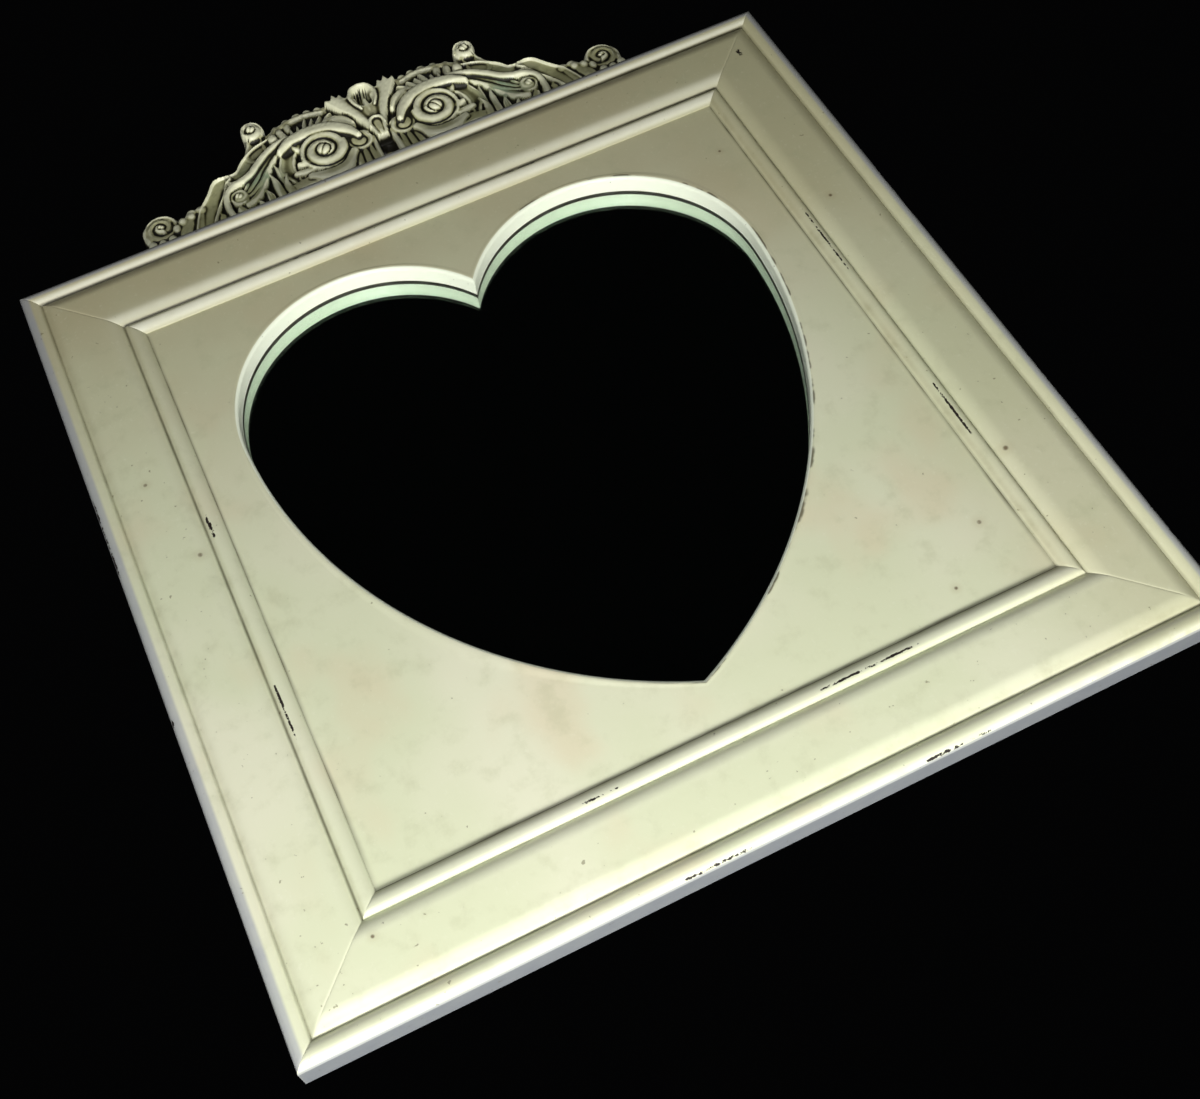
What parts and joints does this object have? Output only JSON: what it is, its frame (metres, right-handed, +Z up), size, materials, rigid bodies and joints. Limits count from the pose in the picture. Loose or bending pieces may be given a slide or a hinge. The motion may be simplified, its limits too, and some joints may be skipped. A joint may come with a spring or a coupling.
{
  "type": "wall mirror",
  "caption": "Square wall mirror in a distressed cream moulding, with a heart-shaped opening in a flat panel, a scrollwork crest, and turn buttons, D-rings and rubber bumpers behind.",
  "frame": {"origin": "on the wall plane, midway between the bearing points of the two D-rings", "axes": "+Z up towards the crest, +X to the viewer's right, +Y from the mirror into the wall; the mirror faces -Y"},
  "size_m": [0.508, 0.028, 0.586],
  "materials": {
    "cream_paint": "antique cream paint over primed wood, satin, glazed and rubbed through to dark brown on the arrises",
    "crest_paint": "the same paint with brown-green glaze left in the carving",
    "mirror": "3 mm float glass silvered on the back, green at its edge",
    "hardboard": "brown hardboard, smooth outer face",
    "zinc_steel": "zinc-plated sheet steel",
    "ring_wire": "nickel-plated steel wire",
    "screw_steel": "passivated steel",
    "rubber": "black rubber"
  },
  "bodies": {
    "frame": {"top_rail": "cream_paint", "right_rail": "cream_paint", "bottom_rail": "cream_paint", "left_rail": "cream_paint", "heart_panel": "cream_paint", "crest": "crest_paint", "mirror_glass": "mirror", "backing_board": "hardboard", "corner_v_nails": "screw_steel", "turn_button_screws": "screw_steel", "hanger_screws": "screw_steel", "crest_plate_screws": "screw_steel", "hanger_strap_left": "zinc_steel", "crest_plate_left": "zinc_steel", "hanger_strap_right": "zinc_steel", "crest_plate_right": "zinc_steel", "bumper_top_left": "rubber", "bumper_top_right": "rubber", "bumper_bottom_left": "rubber", "bumper_bottom_right": "rubber"},
    "ring_left": {"hanger_ring_left": "ring_wire"},
    "ring_right": {"hanger_ring_right": "ring_wire"},
    "button_top_left": {"turn_button_top_left": "zinc_steel"},
    "button_top_right": {"turn_button_top_right": "zinc_steel"},
    "button_right_upper": {"turn_button_right_upper": "zinc_steel"},
    "button_right_lower": {"turn_button_right_lower": "zinc_steel"},
    "button_bottom_right": {"turn_button_bottom_right": "zinc_steel"},
    "button_bottom_left": {"turn_button_bottom_left": "zinc_steel"},
    "button_left_lower": {"turn_button_left_lower": "zinc_steel"},
    "button_left_upper": {"turn_button_left_upper": "zinc_steel"}
  },
  "joints": [
    {"name": "ring_left_swing", "type": "hinge", "parent": "frame", "child": "ring_left", "pos_m": [-0.239, -0.0037, -0.016], "axis": [-1, 0, 0], "range_deg": [0, 170]},
    {"name": "ring_right_swing", "type": "hinge", "parent": "frame", "child": "ring_right", "pos_m": [0.239, -0.0037, -0.016], "axis": [-1, 0, 0], "range_deg": [0, 170]},
    {"name": "button_top_left_turn", "type": "hinge", "parent": "frame", "child": "button_top_left", "pos_m": [-0.14, -0.0051, 0.103], "axis": [0, 1, 0], "continuous": true},
    {"name": "button_top_right_turn", "type": "hinge", "parent": "frame", "child": "button_top_right", "pos_m": [0.14, -0.0051, 0.103], "axis": [0, 1, 0], "continuous": true},
    {"name": "button_right_upper_turn", "type": "hinge", "parent": "frame", "child": "button_right_upper", "pos_m": [0.207, -0.0051, 0.036], "axis": [0, 1, 0], "continuous": true},
    {"name": "button_right_lower_turn", "type": "hinge", "parent": "frame", "child": "button_right_lower", "pos_m": [0.207, -0.0051, -0.244], "axis": [0, 1, 0], "continuous": true},
    {"name": "button_bottom_right_turn", "type": "hinge", "parent": "frame", "child": "button_bottom_right", "pos_m": [0.14, -0.0051, -0.311], "axis": [0, 1, 0], "continuous": true},
    {"name": "button_bottom_left_turn", "type": "hinge", "parent": "frame", "child": "button_bottom_left", "pos_m": [-0.14, -0.0051, -0.311], "axis": [0, 1, 0], "continuous": true},
    {"name": "button_left_lower_turn", "type": "hinge", "parent": "frame", "child": "button_left_lower", "pos_m": [-0.207, -0.0051, -0.244], "axis": [0, 1, 0], "continuous": true},
    {"name": "button_left_upper_turn", "type": "hinge", "parent": "frame", "child": "button_left_upper", "pos_m": [-0.207, -0.0051, 0.036], "axis": [0, 1, 0], "continuous": true}
  ]
}
